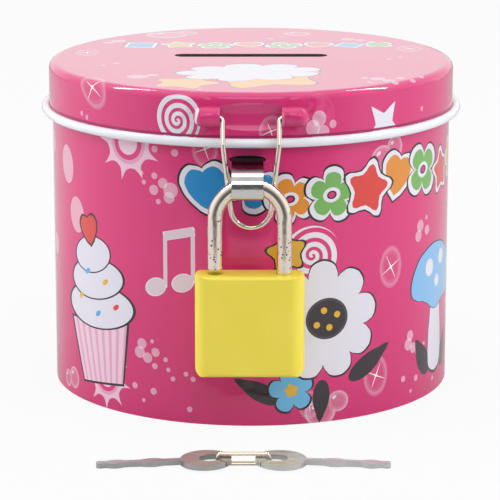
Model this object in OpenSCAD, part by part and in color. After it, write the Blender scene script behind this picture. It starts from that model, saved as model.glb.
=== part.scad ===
// Round tinplate money box: a hinged slip lid with a coin slot, a wire hasp
// over a staple, a small jacketed padlock and its two keys on a link.
// Millimetres, +Z up, the tin's axis is Z, its rest face is z = 0 and its
// front, with the padlock, faces -Y.

/* [Tin] */
// Outer radius of the lid's side wall
lid_r = 50; // [45:0.5:60]
// Height of the closed tin
tin_h = 80; // [76:1:100]
// Thickness of the tinplate
sheet = 0.3; // [0.25:0.05:0.4]
// Running gap between the lid and the body, on the radius
lid_gap = 0.5; // [0.4:0.05:0.8]
// Height of the lid above the middle of its curl
lid_h = 11.5; // [11:0.5:14]
// Outer radius of the lid's top edge
lid_edge_r = 1.9; // [1.2:0.1:3]
// Outer radius of the curl round the lid's lower edge
curl_r = 1.1; // [0.9:0.1:1.4]
// Outer radius of the curl at the body's rim
rim_r = 0.9; // [0.7:0.1:1.1]
// Height of the recess under the bottom plate
foot_h = 2.2; // [1.6:0.1:4]
// Radius of the bottom plate's lowered middle
panel_r = 40; // [30:1:42]
// How far the bottom plate's middle lies below its edge
panel_drop = 0.8; // [0.4:0.1:1.2]
// Width of the hem folded in under the wall
hem_w = 1.3; // [1:0.1:2]
// Width of the folded side seam
seam_w = 5; // [4:0.5:8]

/* [Coin slot] */
// Length of the coin slot
slot_l = 38; // [34:0.5:42]
// Width of the coin slot
slot_w = 4.4; // [4.2:0.1:5]
// How far the slot lies behind the lid's centre
slot_back = 3.8; // [0:0.2:8]
// Depth of the turned-down edge round the slot
slot_lip = 0.9; // [0.6:0.1:1.5]

/* [Hasp] */
// Diameter of the hasp wire
wire_d = 1.2; // [1:0.1:1.4]
// Half the distance between the hasp's legs
hasp_half = 6.5; // [6:0.1:7]
// Depth of the hasp's turned-out ends below the lid's top
hasp_drop = 5.5; // [5:0.1:6]
// How far the turned-out ends' axis lies outside the lid's wall
hasp_out = 0.3; // [0.2:0.05:0.5]
// Height of the hasp below the middle of the curl
hasp_l = 19.8; // [18.5:0.1:21]
// Middle radius of the round lower end of the hasp
hasp_end_r = 4.7; // [4.6:0.1:5.2]
// Middle radius of the elbows at the top of the hasp
hasp_bend = 1; // [0.8:0.1:1.4]
// Lean of the hasp's lower part towards the body, in degrees
hasp_lean = 3.5; // [2:0.5:5]
// Outer radius of the pressed pockets
pocket_r = 2.4; // [2.2:0.05:2.6]
// Length of a pocket with its round end
pocket_l = 6.3; // [5.5:0.1:7]
// Length of a turned-out end inside its pocket
hasp_tail = 4.6; // [4:0.1:5]
// Radius of the dent pressed between the pockets
dent_r = 6; // [5:0.1:7]
// Depth of the dent at its middle
dent_d = 1; // [0.8:0.05:1.3]
// Height of the dent's middle above the hasp's ends
dent_up = 0.1; // [0:0.1:0.8]

/* [Staple] */
// Width of the staple's strap
staple_w = 7.3; // [6.5:0.1:8]
// Width of the staple's lower leg behind its bend
staple_neck = 5; // [4:0.1:6]
// Thickness of the staple's strap
staple_t = 0.7; // [0.6:0.05:1]
// How far the staple stands out from the body
staple_out = 9.2; // [8.9:0.1:10]
// Height of the staple's front
staple_h = 6.9; // [6.5:0.1:8]
// Distance from the middle of the curl down to the staple's front
staple_drop = 5.3; // [5:0.1:6]
// Slope of the staple's upper leg, in degrees
staple_slope = 12; // [5:1:15]
// How far the staple sits to the left of the middle
staple_left = 0.8; // [0:0.1:1]
// Radius of the staple's upper bend
staple_r1 = 1.6; // [1.1:0.1:2]
// Radius of the staple's lower bend
staple_r2 = 2; // [1.6:0.1:2.6]
// Length of the tabs turned over inside the body
tab_l = 3; // [2:0.5:4]

/* [Hinge] */
// Outer radius of the hinge knuckles
knuckle_r = 1.3; // [1.2:0.05:1.5]
// Thickness of the hinge leaves
leaf_t = 0.6; // [0.5:0.05:0.7]
// Width of the hinge
hinge_w = 22; // [18:1:30]
// Height of the body leaf's plate
leaf_body_h = 9; // [8:0.5:12]
// Height of the lid leaf's plate
leaf_lid_h = 7; // [6:0.5:8]
// Height of the hinge pin above the middle of the curl
hinge_up = 1; // [0.8:0.1:1.4]
// Gap between neighbouring knuckles
knuckle_gap = 0.2; // [0.1:0.05:0.4]
// Diameter of the rivets' shanks
rivet_d = 1.8; // [1.5:0.1:2]
// Diameter of the rivets' heads
rivet_head_d = 3.4; // [3:0.1:3.8]
// Distance of the rivets from the middle of the hinge
rivet_x = 7; // [5:0.5:8]

/* [Padlock] */
// Width of the padlock's case
case_w = 25.4; // [24.5:0.1:28]
// Height of the padlock's case
case_h = 24; // [23.5:0.5:28]
// Thickness of the padlock's case
case_t = 8; // [8:0.1:10]
// Thickness of the plastic jacket
jacket_t = 0.9; // [0.8:0.05:1]
// Radius of the jacket's upright edges
case_side_r = 3.4; // [2:0.1:3.4]
// Radius of the jacket's lower corners
case_low_r = 1.8; // [1:0.1:2.5]
// Radius of the jacket's upper corners and its top and bottom edges
case_edge_r = 0.8; // [0.5:0.1:1.2]
// Diameter of the shackle's rod
shackle_d = 3.5; // [3.2:0.1:4]
// Distance between the shackle's legs, middle to middle
leg_gap = 16; // [15.5:0.1:17]
// Height of the crown's middle above the case when the shackle is out
shackle_h = 20.7; // [19:0.1:22]
// How far the short leg stands above the case when the shackle is out
toe_gap = 1.2; // [0.8:0.1:1.6]
// Travel of the case on the shackle from open to closed
case_travel = 5.2; // [4.5:0.1:5.5]
// Length of the long leg inside the case when the shackle is out
heel_l = 13.5; // [13:0.1:13.6]
// How far the lock hangs to the left of the middle
lock_left = 0.3; // [0:0.1:0.6]
// Radius of the key plug
plug_r = 2.4; // [2:0.05:2.6]
// Diameter of the wire of the shackle's spring
spring_wire = 0.4; // [0.3:0.05:0.45]
// Coils of the shackle's spring
spring_coils = 5; // [4:1:5]

/* [Keys] */
// Thickness of a key
key_t = 1.2; // [1:0.05:1.4]
// Radius of a key's round bow
bow_r = 5.8; // [5.5:0.1:6.5]
// Length of a key from the middle of its bow to its tip
key_l = 24.8; // [24:0.1:27]
// Width of a key's stem
stem_w = 1.6; // [1.4:0.1:2]
// Width of a key's lobes
lobe_w = 2.9; // [2.6:0.1:3.4]
// Length of the hole in a key's bow
hole_l = 5.2; // [4.8:0.1:5.6]
// Width of the hole in a key's bow
hole_w = 4.6; // [4:0.1:4.8]
// How far the hole lies from the bow's middle, away from the stem
hole_off = 1.1; // [0.9:0.1:1.3]
// Width of the slit through the bow
slit_w = 0.35; // [0.3:0.05:0.5]
// Distance of the keys in front of the tin's axis
keys_front = 79; // [75:1:90]
// How far the keys' link sits to the left of the middle
keys_left = 1.7; // [0:0.1:4]
// Half the distance between the middles of the two bows
bow_half = 8.5; // [8.2:0.1:9]
// Droop of each key out of the common line, in degrees
key_droop = 3.5; // [0:0.5:6]
// Diameter of the link's wire
link_wire = 0.7; // [0.6:0.05:0.8]
// Overall length of the link
link_l = 12.6; // [12.4:0.1:13.2]
// Overall height of the link
link_h = 3; // [2.8:0.1:3]

/* [Hidden] */
$fn = 96;

// Clearances: a seat that touches, a running fit, and an easy fit
seat = 0.05;
fit = 0.1;
ease = 0.25;
// Overrun of a cutting tool past the face it cuts
over = 1;

// Tin
lid_in_r = lid_r - sheet;
body_r = lid_in_r - lid_gap;
body_in_r = body_r - sheet;
curl_z = tin_h - lid_h;
curl_mid_r = lid_in_r + curl_r;
bead_r = lid_in_r + 2 * curl_r;

// Hasp, pockets and dent
wire_r = wire_d / 2;
hasp_y = -(lid_r + hasp_out);
hasp_z = tin_h - hasp_drop;
hasp_knee_y = -(bead_r + wire_r + ease);
hasp_turn = atan2(hasp_y - hasp_knee_y, hasp_z - curl_z);
pocket_x = hasp_half + wire_r;
pocket_y = -(lid_r - pocket_r / 3);
dent_y = -(lid_r + dent_r - dent_d);
dent_z = hasp_z + dent_up;
dent_top = tin_h - lid_edge_r - sheet / 6;

// The body's rim: its curl lies just under the dent, where the closed lid rests
rim_mid_r = body_r - rim_r;
rim_reach = dent_r + sheet + rim_r + ease;
rim_mid_z = dent_z - sqrt(pow(rim_reach, 2) - pow(-dent_y - rim_mid_r, 2));

// Staple
staple_top = curl_z - staple_drop;
staple_low = staple_top - staple_h;
staple_x = -staple_left;
staple_y = -(body_r + staple_out);
staple_bulge_r = 10;
staple_y1 = staple_y + staple_r1;
staple_z1 = staple_top - staple_r1;
staple_root = staple_z1 + staple_r1 / cos(staple_slope)
    + (-body_r - staple_y1) * tan(staple_slope);

// Hinge
hinge_y = bead_r + knuckle_r + 0.5;
hinge_z = curl_z + hinge_up;
pin_r = knuckle_r - leaf_t - seat;
knuckles = 5;
knuckle_pitch = hinge_w / knuckles;
leaf_body_top = curl_z - curl_r - 1.2;
leaf_lid_low = hinge_z + knuckle_r - leaf_t;
rivet_body_z = leaf_body_top - leaf_body_h / 2;
rivet_lid_z = leaf_lid_low + leaf_lid_h / 2 + 0.3;
rivet_head_t = 0.6;

// Padlock: the crown hangs on the staple's lower leg
rod_r = shackle_d / 2;
lock_x = -lock_left;
lock_y = staple_y + staple_t + fit + rod_r;
crown_r = leg_gap / 2;
neck_reach = staple_neck / 2 + staple_left - lock_left;
crown_z = staple_low + staple_t + fit + crown_r
    - sqrt(pow(crown_r - rod_r, 2) - pow(neck_reach, 2));
neck_y = lock_y - 0.93 * rod_r;
case_top = crown_z - shackle_h;
case_low = case_top - case_h;
bore_r = rod_r + 0.15;
core_w = case_w - 2 * jacket_t - 2 * seat;
core_t = case_t - 2 * jacket_t - 2 * seat;
core_h = case_h - 2 * jacket_t - 2 * seat;
core_side_r = case_side_r - jacket_t;
heel_z = case_top - heel_l;
collar_h = 1;
relief_r = rod_r - 0.5;
keeper_r = 0.5;
keeper_z = heel_z + collar_h + keeper_r + seat;
relief_h = case_travel + 2 * keeper_r + 4 * seat;
seat_t = 0.8;
well_z = case_low + jacket_t + seat + 1.2;
bolt_h = 2.4;
bolt_w = 4.2;
bolt_draw = 1.3;
bolt_z = heel_z + collar_h + relief_h - case_travel + bolt_h / 2 + 1.3;
bolt_nose = crown_r - rod_r - 0.15;
bolt_tail = -4.5;
notch_d = 1.1;
cam_r = 0.6;
plug_low = case_low + 0.3;
plug_top = bolt_z - bolt_h / 2 - fit;
latch_wire = 0.3;

// Keys: the tips lie on the floor and the bows on the link's lower run
link_r = link_wire / 2;
link_bend = link_h / 2 - link_r;
link_straight = link_l / 2 - link_h / 2;
keys_x = -keys_left;
bow_rim_x = bow_half - bow_r;
key_rise = link_wire + seat;
key_tilt = asin(key_rise / (key_l + bow_r));

pink = [0.85, 0.3, 0.54];
pale = [0.86, 0.86, 0.88];
chrome = [0.78, 0.78, 0.8];
yellow = [0.92, 0.84, 0.3];
steel = [0.58, 0.58, 0.6];

// A round rod from p to q
module rod(p, q, r) {
    d = q - p;
    translate(p)
        rotate([0, acos(d.z / norm(d)), atan2(d.y, d.x)])
            cylinder(h = norm(d), r = r);
}

// Repeats its children mirrored left to right
module both_sides() {
    children();
    mirror([1, 0, 0]) children();
}

// A flat shape drawn as (y, z), extruded along X from x0 over length l
module along_x(x0, l) {
    translate([x0, 0, 0])
        rotate([90, 0, 90])
            linear_extrude(height = l) children();
}

// Part of an upright tube, cut to x0..x1 on the side where y has the sign s
module wall_patch(r_in, r_out, z0, z1, x0, x1, s) {
    intersection() {
        translate([0, 0, z0]) difference() {
            cylinder(h = z1 - z0, r = r_out);
            translate([0, 0, -over]) cylinder(h = z1 - z0 + 2 * over, r = r_in);
        }
        translate([x0, s > 0 ? r_in / 2 : -r_out - over, z0 - over])
            cube([x1 - x0, r_out - r_in / 2 + over, z1 - z0 + 2 * over]);
    }
}

// A coil spring along Z with flat first and last rings
module spring(mid_r, r, h, coils) {
    sides = 8;
    steps = coils * 16;
    lift = function (i) r + (h - 2 * r) * min(1, max(0, (i / 16 - 0.75) / (coils - 1.5)));
    ring = [for (i = [0 : steps]) for (j = [0 : sides - 1])
        let (a = i * 360 / 16, b = j * 360 / sides)
        [(mid_r + r * cos(b)) * cos(a), (mid_r + r * cos(b)) * sin(a), lift(i) + r * sin(b)]];
    skin = [for (i = [0 : steps - 1]) for (j = [0 : sides - 1])
        let (k = (j + 1) % sides)
        [i * sides + j, i * sides + k, (i + 1) * sides + k, (i + 1) * sides + j]];
    ends = [[for (j = [sides - 1 : -1 : 0]) j], [for (j = [0 : sides - 1]) steps * sides + j]];
    polyhedron(points = ring, faces = concat(skin, ends));
}

// ---- Tin body ----

// Ring section of rolled sheet, as drawn in a turned profile
module rolled(r) {
    difference() {
        circle(r);
        circle(r - sheet);
    }
}

module body_profile() {
    translate([body_in_r, sheet]) square([sheet, rim_mid_z - sheet]);
    translate([rim_mid_r, rim_mid_z]) rolled(rim_r);
    translate([body_r - hem_w, 0]) square([hem_w, sheet]);
    translate([body_r - hem_w, 0]) square([sheet, 2 * sheet]);
}

// The staple's two slots through the wall
module staple_slots() {
    slots = [[staple_w, staple_root - staple_t], [staple_neck, staple_low]];
    for (slot = slots)
        translate([staple_x - slot.x / 2 - fit, -body_r - over, slot.y - fit])
            cube([slot.x + 2 * fit, 2 * over + 1, staple_t + 2 * fit]);
}

// Places its children on the back wall at both rivets, pointing outwards
module at_rivet(side, r, z) {
    rotate([0, 0, -side * asin(rivet_x / r)])
        translate([0, r, z])
            rotate([-90, 0, 0]) children();
}

module rivet_hole(side, r, z) {
    at_rivet(side, r, z)
        translate([0, 0, -3]) cylinder(h = 6, d = rivet_d + 2 * seat);
}

module body_wall() {
    color(pink) {
        difference() {
            rotate_extrude() body_profile();
            staple_slots();
            for (s = [-1, 1]) rivet_hole(s, body_r, rivet_body_z);
        }
        wall_patch(body_in_r - sheet, body_in_r + sheet / 2, foot_h + 1.5,
            rivet_body_z - rivet_head_d, -seam_w / 2, seam_w / 2, 1);
    }
}

module bottom_plate() {
    plate_r = body_in_r - seat;
    skirt_z = sheet + seat;
    color(pale) rotate_extrude() {
        translate([0, foot_h - panel_drop]) square([panel_r, sheet]);
        translate([panel_r - sheet, foot_h - panel_drop]) square([sheet, panel_drop + sheet]);
        translate([panel_r - sheet, foot_h]) square([plate_r - panel_r + sheet, sheet]);
        translate([plate_r - sheet, skirt_z]) square([sheet, foot_h + sheet - skirt_z]);
    }
}

// The staple's side outline, drawn in by d all round
module staple_outline(d) {
    wall = -body_r + tab_l;
    up = [-sin(staple_slope), cos(staple_slope)];
    along = [cos(staple_slope), sin(staple_slope)];
    top = [staple_y1, staple_z1] + (staple_r1 - d) * up;
    low = [staple_y + staple_r2, staple_low + staple_r2];
    intersection() {
        union() {
            polygon([[wall, staple_low + d], top + (wall - staple_y1) * along, top,
                [staple_y1, staple_z1], [staple_y + d, staple_z1],
                [staple_y + d, low.y], low, [low.x, staple_low + d]]);
            translate(low) circle(staple_r2 - d);
            translate([staple_y1, staple_z1]) circle(staple_r1 - d);
        }
        translate([staple_y + staple_bulge_r, (staple_low + staple_top) / 2])
            circle(staple_bulge_r - d);
    }
}

// What the strap narrows to behind its lower bend
module staple_width() {
    z0 = staple_low - tab_l - over;
    upper_z = (staple_low + staple_root) / 2;
    translate([staple_x - staple_neck / 2, staple_y - over, z0])
        cube([staple_neck, staple_out + 2 * tab_l, staple_root + tab_l - z0 + over]);
    translate([staple_x - staple_w / 2, staple_y - over, z0])
        cube([staple_w, neck_y - staple_y + over, staple_root - z0]);
    translate([staple_x - staple_w / 2, staple_y - over, upper_z])
        cube([staple_w, staple_out + 2 * tab_l, staple_root + tab_l - upper_z + over]);
}

module staple() {
    x0 = staple_x - staple_w / 2;
    tab_r = body_in_r - seat;
    color(chrome) intersection() {
        union() {
            difference() {
                along_x(x0, staple_w) difference() {
                    staple_outline(0);
                    staple_outline(staple_t);
                }
                translate([0, 0, staple_low - over])
                    cylinder(h = staple_root - staple_low + 2 * over, r = tab_r - staple_t);
            }
            wall_patch(tab_r - staple_t, tab_r, staple_root - staple_t, staple_root + tab_l,
                x0, x0 + staple_w, -1);
            wall_patch(tab_r - staple_t, tab_r, staple_low - tab_l, staple_low + staple_t,
                x0, x0 + staple_w, -1);
        }
        staple_width();
    }
}

// ---- Hinge ----

// Knuckles number first, first + 2 ... as rings on the pin's axis
module knuckle_set(first) {
    for (i = [first : 2 : knuckles - 1])
        translate([(i - knuckles / 2) * knuckle_pitch + knuckle_gap / 2, hinge_y, hinge_z])
            rotate([0, 90, 0]) difference() {
                cylinder(h = knuckle_pitch - knuckle_gap, r = knuckle_r);
                translate([0, 0, -over])
                    cylinder(h = knuckle_pitch + 2 * over, r = pin_r + seat);
            }
}

// Straps from a leaf to knuckles first, first + 2 ..., drawn as (y, z)
module knuckle_straps(first) {
    for (i = [first : 2 : knuckles - 1])
        along_x((i - knuckles / 2) * knuckle_pitch + knuckle_gap / 2,
            knuckle_pitch - knuckle_gap) children();
}

module hinge_leaf_body() {
    outer = hinge_y + knuckle_r;
    color(chrome) {
        difference() {
            wall_patch(body_r + seat, body_r + seat + leaf_t, leaf_body_top - leaf_body_h,
                leaf_body_top, -hinge_w / 2, hinge_w / 2, 1);
            for (s = [-1, 1]) rivet_hole(s, body_r, rivet_body_z);
        }
        difference() {
            knuckle_straps(0) {
                translate([body_r / 2, leaf_body_top - leaf_t])
                    square([outer - body_r / 2, leaf_t]);
                translate([outer - leaf_t, leaf_body_top - leaf_t])
                    square([leaf_t, hinge_z - leaf_body_top + leaf_t]);
            }
            translate([0, 0, leaf_body_top - leaf_t - over])
                cylinder(h = leaf_t + 2 * over, r = body_r + seat);
            translate([0, hinge_y, hinge_z]) rotate([0, 90, 0])
                cylinder(h = hinge_w + 2 * over, r = pin_r + seat, center = true);
        }
        knuckle_set(0);
    }
}

module hinge_leaf_lid() {
    color(chrome) {
        difference() {
            wall_patch(lid_r + seat, lid_r + seat + leaf_t, leaf_lid_low,
                leaf_lid_low + leaf_lid_h, -hinge_w / 2, hinge_w / 2, 1);
            for (s = [-1, 1]) rivet_hole(s, lid_r, rivet_lid_z);
        }
        difference() {
            knuckle_straps(1)
                translate([lid_r / 2, leaf_lid_low]) square([hinge_y - lid_r / 2, leaf_t]);
            translate([0, 0, leaf_lid_low - over])
                cylinder(h = leaf_t + 2 * over, r = lid_r + seat);
        }
        knuckle_set(1);
    }
}

module hinge_pin() {
    head = 0.5;
    color(steel)
        translate([-hinge_w / 2 - head, hinge_y, hinge_z]) rotate([0, 90, 0]) {
            cylinder(h = hinge_w + 2 * head, r = pin_r);
            cylinder(h = head, r = knuckle_r - fit);
            translate([0, 0, hinge_w + head]) cylinder(h = head, r = knuckle_r - fit);
        }
}

// A rivet through a wall of outer radius r with the leaf on it
module rivet(side, r, z) {
    grip_out = leaf_t + 2 * seat;
    grip_in = sheet + 2 * seat;
    color(steel) at_rivet(side, r, z) {
        translate([0, 0, -grip_in]) cylinder(h = grip_in + grip_out, d = rivet_d);
        translate([0, 0, grip_out]) cylinder(h = rivet_head_t, d1 = rivet_head_d, d2 = rivet_d);
        translate([0, 0, -grip_in - rivet_head_t])
            cylinder(h = rivet_head_t, d1 = rivet_d, d2 = rivet_head_d * 0.8);
    }
}

module rivet_body_left() { rivet(-1, body_r, rivet_body_z); }
module rivet_body_right() { rivet(1, body_r, rivet_body_z); }
module rivet_lid_left() { rivet(-1, lid_r, rivet_lid_z); }
module rivet_lid_right() { rivet(1, lid_r, rivet_lid_z); }

// ---- Lid ----

module lid_profile() {
    translate([lid_in_r, curl_z]) square([sheet, lid_h - lid_edge_r]);
    translate([0, tin_h - sheet]) square([lid_r - lid_edge_r, sheet]);
    translate([curl_mid_r, curl_z]) rolled(curl_r);
    intersection() {
        translate([lid_r - lid_edge_r, tin_h - lid_edge_r]) rolled(lid_edge_r);
        translate([lid_r - lid_edge_r, tin_h - lid_edge_r]) square(lid_edge_r);
    }
}

// The coin slot's outline, grown by d
module slot_outline(d) {
    end = (slot_l - slot_w) / 2;
    translate([-end, -slot_w / 2 - d]) square([2 * end, slot_w + 2 * d]);
    both_sides() translate([end, 0]) circle(slot_w / 2 + d);
}

// A pocket's capsule on the right-hand side, drawn in by d
module pocket(d) {
    r = pocket_r - d;
    straight = pocket_l - pocket_r;
    translate([pocket_x, pocket_y, hasp_z]) rotate([0, 90, 0]) {
        cylinder(h = straight, r = r);
        translate([0, 0, straight]) rotate([-50, 0, 0]) sphere(r);
    }
}

module pocket_shell() {
    difference() {
        pocket(0);
        pocket(sheet);
        translate([0, 0, hasp_z - 2 * pocket_r]) cylinder(h = 4 * pocket_r, r = lid_in_r);
        translate([pocket_x - 2 * pocket_r, pocket_y - pocket_r, hasp_z - pocket_r])
            cube([2 * pocket_r, 2 * pocket_r, 2 * pocket_r]);
    }
}

module dent_tool(r, half) {
    translate([0, dent_y, dent_z]) rotate([0, 90, 0])
        cylinder(h = 2 * half, r = r, center = true);
}

module dent_shell() {
    intersection() {
        difference() {
            dent_tool(dent_r + sheet, pocket_x);
            dent_tool(dent_r, pocket_x + over);
        }
        translate([0, 0, curl_z]) cylinder(h = dent_top - curl_z, r = lid_r);
    }
}

module lid_shell() {
    color(pink) {
        difference() {
            rotate_extrude() lid_profile();
            translate([0, slot_back, tin_h - 2 * sheet])
                linear_extrude(height = 4 * sheet) slot_outline(0);
            dent_tool(dent_r, pocket_x);
            both_sides() pocket(sheet);
            for (s = [-1, 1]) rivet_hole(s, lid_r, rivet_lid_z);
        }
        dent_shell();
        both_sides() pocket_shell();
        translate([0, slot_back, tin_h - sheet - slot_lip])
            linear_extrude(height = slot_lip + sheet / 2) difference() {
                slot_outline(sheet);
                slot_outline(0);
            }
    }
}

// The wire hasp: turned-out ends, legs over the curl, and a round lower end
module hasp_wire() {
    upper = (hasp_z - curl_z) / cos(hasp_turn);
    centre_u = hasp_l - hasp_end_r;
    taper = acos(hasp_end_r / norm([hasp_half, centre_u])) - atan2(centre_u, hasp_half);
    touch = [hasp_end_r * cos(taper), 0, -centre_u - hasp_end_r * sin(taper)];
    color(chrome) {
        both_sides() translate([0, hasp_y, hasp_z]) rotate([-hasp_turn, 0, 0]) {
            translate([hasp_half + hasp_bend, 0, 0]) rotate([0, 90, 0])
                cylinder(h = hasp_tail - hasp_bend, r = wire_r);
            translate([hasp_half + hasp_bend, 0, -hasp_bend]) rotate([90, 0, 0])
                rotate_extrude(angle = 90, start = 90)
                    translate([hasp_bend, 0]) circle(wire_r);
            translate([hasp_half, 0, -upper]) cylinder(h = upper - hasp_bend, r = wire_r);
        }
        translate([0, hasp_knee_y, curl_z]) rotate([hasp_lean, 0, 0]) {
            both_sides() {
                for (p = [[hasp_half, 0, 0], touch]) translate(p) sphere(wire_r + seat / 5);
                rod([hasp_half, 0, 0], touch, wire_r);
            }
            translate([0, 0, -centre_u]) rotate([90, 0, 0])
                rotate_extrude(angle = 180 - 2 * taper, start = 180 + taper)
                    translate([hasp_end_r, 0]) circle(wire_r);
        }
    }
}

// ---- Padlock ----

module shackle() {
    notch_z = bolt_z + case_travel;
    color(chrome) translate([lock_x, lock_y, 0]) {
        translate([0, 0, crown_z - crown_r]) rotate([90, 0, 0])
            rotate_extrude(angle = 180) translate([crown_r, 0]) circle(rod_r);
        translate([-crown_r, 0, case_top + toe_gap])
            cylinder(h = crown_z - crown_r - case_top - toe_gap, r = rod_r);
        difference() {
            translate([crown_r, 0, heel_z])
                cylinder(h = crown_z - crown_r - heel_z, r = rod_r);
            translate([crown_r, 0, heel_z + collar_h]) difference() {
                cylinder(h = relief_h, r = rod_r + over);
                cylinder(h = relief_h, r = relief_r);
            }
            translate([crown_r - rod_r - over, -rod_r - over, notch_z - bolt_h / 2 - fit])
                cube([notch_d + over, 2 * (rod_r + over), bolt_h + 2 * fit]);
        }
    }
}

module spring_seat() {
    color(steel) translate([lock_x + crown_r, lock_y, heel_z - seat_t - seat]) {
        cylinder(h = seat_t, r = rod_r);
        translate([0, 0, -0.6]) cylinder(h = 0.7, r = rod_r - spring_wire - fit);
    }
}

// A flat outline w wide and h high with its own lower and upper corner radii
module soft_outline(w, h, low_r, top_r) {
    translate([-w / 2, low_r]) square([w, h - low_r - top_r]);
    translate([-w / 2 + low_r, 0]) square([w - 2 * low_r, low_r]);
    translate([-w / 2 + top_r, h - top_r]) square([w - 2 * top_r, top_r]);
    both_sides() {
        translate([w / 2 - low_r, low_r]) circle(low_r);
        translate([w / 2 - top_r, h - top_r]) circle(top_r);
    }
}

// A block that is rounded by three outlines: from the front, the side and above
module soft_block(w, t, h, low_r, top_r, edge_r, side_r) {
    intersection() {
        translate([0, t, 0]) rotate([90, 0, 0])
            linear_extrude(height = 2 * t) soft_outline(w, h, low_r, top_r);
        translate([-w, 0, 0]) rotate([90, 0, 90])
            linear_extrude(height = 2 * w) soft_outline(t, h, edge_r, edge_r);
        translate([0, -t / 2, -over]) linear_extrude(height = h + 2 * over)
            soft_outline(w, t, side_r, side_r);
    }
}

// Both leg holes, as drawn from above
module leg_bores(r, z, h) {
    for (s = [-1, 1]) translate([s * crown_r, 0, z]) cylinder(h = h, r = r);
}

module lock_jacket() {
    color(yellow) translate([lock_x, lock_y, case_low]) difference() {
        soft_block(case_w, case_t, case_h, case_low_r, case_edge_r, case_edge_r, case_side_r);
        translate([0, -core_t / 2 - seat, jacket_t])
            linear_extrude(height = case_h - 2 * jacket_t)
                soft_outline(core_w + 2 * seat, core_t + 2 * seat, core_side_r, core_side_r);
        leg_bores(bore_r, case_h - jacket_t - over, jacket_t + 2 * over);
        translate([0, 0, -over]) cylinder(h = jacket_t + 2 * over, r = plug_r + ease);
    }
}

module lock_core() {
    channel_l = bolt_tail - bolt_draw - 3;
    color(steel) translate([lock_x, lock_y, 0]) difference() {
        translate([0, -core_t / 2, case_low + jacket_t + seat])
            linear_extrude(height = core_h)
                soft_outline(core_w, core_t, core_side_r, core_side_r);
        translate([crown_r, 0, well_z]) cylinder(h = case_h, r = bore_r);
        translate([-crown_r, 0, case_top + toe_gap - case_travel - 1])
            cylinder(h = case_h, r = bore_r);
        translate([0, 0, case_low]) cylinder(h = plug_top - case_low + fit, r = plug_r + seat);
        translate([channel_l, -bolt_w / 2 - fit, bolt_z - bolt_h / 2 - fit])
            cube([crown_r - channel_l, bolt_w + 2 * fit, bolt_h + 2 * fit]);
        translate([crown_r - relief_r - keeper_r - seat, -case_t, keeper_z])
            rotate([-90, 0, 0]) cylinder(h = 2 * case_t, r = keeper_r + seat / 2);
    }
}

module shackle_spring() {
    low = well_z + seat;
    high = heel_z - seat_t - 2 * seat;
    color(steel) translate([lock_x + crown_r, lock_y, low])
        spring(rod_r - spring_wire / 2, spring_wire / 2, high - low, spring_coils);
}

module retaining_pin() {
    color(steel)
        translate([lock_x + crown_r - relief_r - keeper_r - seat, lock_y - core_t / 2, keeper_z])
            rotate([-90, 0, 0]) cylinder(h = core_t, r = keeper_r);
}

module latch_bolt() {
    slot_x = 2 * cam_r + 2 * 0.35;
    color(steel) translate([lock_x, lock_y, bolt_z - bolt_h / 2]) difference() {
        intersection() {
            translate([bolt_tail, -bolt_w / 2, 0]) cube([bolt_nose - bolt_tail, bolt_w, bolt_h]);
            translate([bolt_nose - bolt_w, 0, -over]) linear_extrude(height = bolt_h + 2 * over) {
                circle(bolt_w);
                translate([bolt_tail - bolt_nose, -bolt_w]) square([bolt_nose - bolt_tail, 2 * bolt_w]);
            }
        }
        translate([-slot_x / 2, -bolt_w / 2 - over, -over])
            cube([slot_x, bolt_w / 2 + over + cam_r + ease, bolt_h + 2 * over]);
    }
}

module latch_spring() {
    low = bolt_tail - bolt_draw - 3 + seat;
    color(steel) translate([lock_x + low, lock_y, bolt_z]) rotate([0, 90, 0])
        spring(bolt_h / 2 - latch_wire, latch_wire / 2, bolt_tail - low - seat, 5);
}

module key_plug() {
    way_w = lobe_w + 0.4;
    way_t = key_t + 0.2;
    color(chrome) translate([lock_x, lock_y, 0]) {
        difference() {
            translate([0, 0, plug_low]) cylinder(h = plug_top - plug_low, r = plug_r);
            translate([-way_w / 2, -way_t / 2, plug_low - over])
                cube([way_w, way_t, plug_top - plug_low - 1.5 + over]);
        }
        translate([0, -bolt_draw, plug_top - seat])
            cylinder(h = bolt_h + fit, r = cam_r);
    }
}

// ---- Keys ----

// A lens outline l long and w wide along X
module lens(l, w) {
    r = (l * l + w * w) / (4 * w);
    intersection() {
        translate([0, w / 2 - r]) circle(r);
        translate([0, r - w / 2]) circle(r);
    }
}

// A key along +X from the middle of its bow
module key_outline() {
    lobe_l = 7;
    tip_lobe_l = 5.6;
    tip_w = stem_w + 0.4;
    difference() {
        union() {
            circle(bow_r);
            translate([0, -stem_w / 2]) square([key_l - tip_w / 2, stem_w]);
            translate([key_l - tip_w / 2, 0]) circle(tip_w / 2);
            translate([bow_r + lobe_l - 0.6, 0]) lens(lobe_l, lobe_w);
            translate([key_l - tip_w - tip_lobe_l / 2 + 0.4, 0]) lens(tip_lobe_l, lobe_w);
        }
        translate([-hole_off, 0]) {
            translate([-(hole_l - hole_w) / 2, -hole_w / 2]) square([hole_l - hole_w, hole_w]);
            both_sides() translate([(hole_l - hole_w) / 2, 0]) circle(hole_w / 2);
            rotate(-132) translate([0, -slit_w / 2]) square([bow_r + over, slit_w]);
        }
    }
}

// The right-hand key, lying with its bow on the link and its tip on the floor
module placed_key() {
    translate([bow_half - bow_r, 0, key_rise])
        rotate([0, key_tilt, -key_droop])
            translate([bow_r, 0, 0]) linear_extrude(height = key_t) key_outline();
}

module key_left() {
    color(steel) translate([keys_x, -keys_front, 0]) mirror([1, 0, 0]) placed_key();
}

module key_right() {
    color(pale) translate([keys_x, -keys_front, 0]) placed_key();
}

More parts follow.
